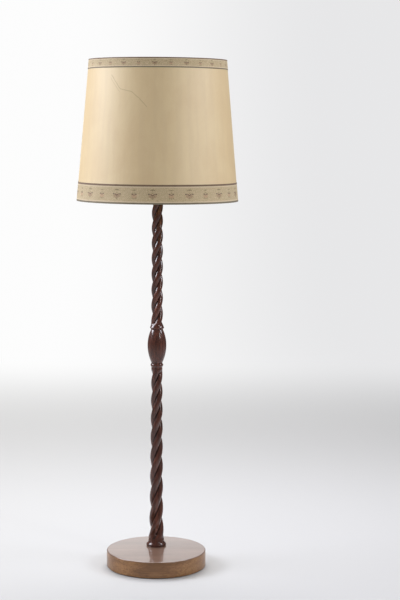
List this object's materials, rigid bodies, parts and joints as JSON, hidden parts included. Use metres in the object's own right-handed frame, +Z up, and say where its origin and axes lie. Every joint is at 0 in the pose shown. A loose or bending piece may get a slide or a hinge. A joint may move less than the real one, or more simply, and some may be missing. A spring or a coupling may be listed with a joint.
{
  "type": "candlestick floor lamp",
  "caption": "Tall floor lamp with a rope-twist turned wooden stem and vase-shaped knop on a thick round wooden base, under a tapered drum shade of parchment with patterned borders.",
  "frame": {"origin": "on the stem's axis at floor level, below the middle of the shade", "axes": "+Z up along the stem; -Y is the front, towards which the base disc reaches further; the lead leaves the base at the back, +Y"},
  "size_m": [0.5, 0.5, 1.575],
  "materials": {
    "base_wood": "stained and varnished, high gloss on top, satin on the side",
    "stem_wood": "dark red-brown stain under gloss varnish",
    "cast_iron": "rough black",
    "screw_steel": "zinc plated",
    "felt": "dense felt",
    "bush_brass": "lacquered",
    "brass": "lacquered, satin",
    "porcelain": "glazed",
    "holder_black": "moulded, semi-gloss",
    "bulb_glass": "inside frosted",
    "clear_glass": "clear",
    "bulb_metal": "bright",
    "bulb_insulator": "black glass",
    "parchment": "stiff parchment, matt varnish",
    "trim_ribbon": "woven ribbon, satin",
    "frame_wire": "white enamel"
  },
  "bodies": {
    "stand": {"base_disc": "base_wood", "base_weight": "cast_iron", "weight_screws": "screw_steel", "base_felt": "felt", "cord_bush": "bush_brass", "pipe_washer": "screw_steel", "base_nut": "screw_steel", "threaded_pipe": "screw_steel", "stem_lower": "stem_wood", "stem_knop": "stem_wood", "stem_upper": "stem_wood", "brass_cup": "brass", "top_nut": "brass", "neck_sleeve": "brass", "holder_cap": "brass", "grub_screw": "screw_steel", "contact_block": "porcelain", "terminal_screws": "brass", "centre_contact": "brass", "side_contact": "brass", "screw_shell": "brass", "holder_shell": "holder_black", "shade_ring_lower": "holder_black", "shade_ring_upper": "holder_black"},
    "switch": {"switch_shaft": "screw_steel", "switch_knob": "holder_black"},
    "bulb_carriage": {"bulb_contact": "bulb_metal"},
    "bulb": {"bulb_glass": "bulb_glass", "bulb_cap": "bulb_metal", "bulb_insulator": "bulb_insulator", "bulb_mount": "clear_glass", "bulb_filament": "screw_steel"},
    "shade": {"shade_skin": "parchment", "bottom_trim": "trim_ribbon", "top_trim": "trim_ribbon", "shade_bottom_ring": "frame_wire", "shade_top_ring": "frame_wire", "fitter_ring": "frame_wire", "fitter_arms": "frame_wire"}
  },
  "joints": [
    {"name": "switch_turn", "type": "hinge", "parent": "stand", "child": "switch", "pos_m": [0.022, 0, 1.2187], "axis": [1, 0, 0], "continuous": true},
    {"name": "bulb_rise", "type": "slide", "parent": "stand", "child": "bulb_carriage", "axis": [0, 0, 1], "range_m": [0, 0.01452]},
    {"name": "bulb_turn", "type": "hinge", "parent": "bulb_carriage", "child": "bulb", "pos_m": [0, 0, 1.25], "axis": [0, 0, 1], "range_deg": [0, 1440]},
    {"name": "shade_turn", "type": "hinge", "parent": "stand", "child": "shade", "pos_m": [0, 0, 1.238], "axis": [0, 0, 1], "continuous": true}
  ],
  "couplings": [
    {"joint": "bulb_turn", "follows": "bulb_rise", "rad_per_m": 1731.4}
  ]
}
